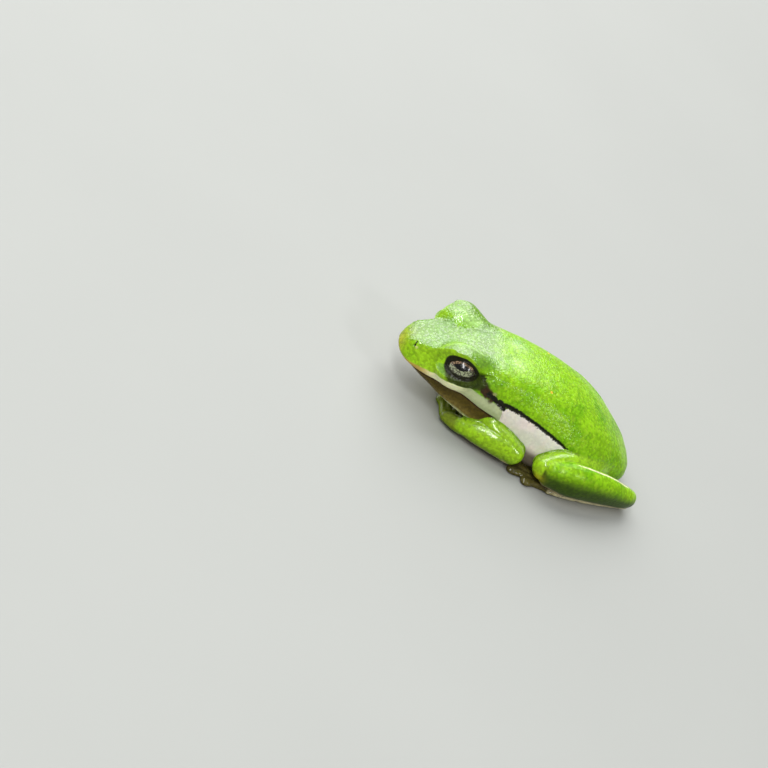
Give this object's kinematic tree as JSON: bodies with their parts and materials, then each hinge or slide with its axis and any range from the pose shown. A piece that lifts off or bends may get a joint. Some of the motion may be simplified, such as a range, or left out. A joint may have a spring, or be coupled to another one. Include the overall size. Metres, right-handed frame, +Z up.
{
  "type": "green tree frog",
  "caption": "Life-size green tree frog at rest, head low, with arms and legs folded in close against its smooth body.",
  "frame": {"origin": "on the surface that the frog rests on, below the middle of its length and width", "axes": "+Z up, the frog faces -Y, and +X is its left side"},
  "size_m": [0.024, 0.0391, 0.0115],
  "materials": {
    "skin": "moist fine-grained skin, yellow-green, with a pale stripe along lip and flank",
    "limb_skin": "moist smooth skin, yellow-green, tan below",
    "digits": "thin moist skin, olive green above and tan below",
    "eye": "wet clear cornea over a bronze and olive iris with a level black pupil"
  },
  "bodies": {
    "root": {"head": "skin", "trunk": "skin", "eye_left": "eye", "upper_arm_left": "limb_skin", "forearm_left": "limb_skin", "hand_left": "digits", "thigh_left": "limb_skin", "shank_left": "limb_skin", "tarsus_left": "digits", "foot_left": "digits", "eye_right": "eye", "upper_arm_right": "limb_skin", "forearm_right": "limb_skin", "hand_right": "digits", "thigh_right": "limb_skin", "shank_right": "limb_skin", "tarsus_right": "digits", "foot_right": "digits"}
  },
  "joints": []
}
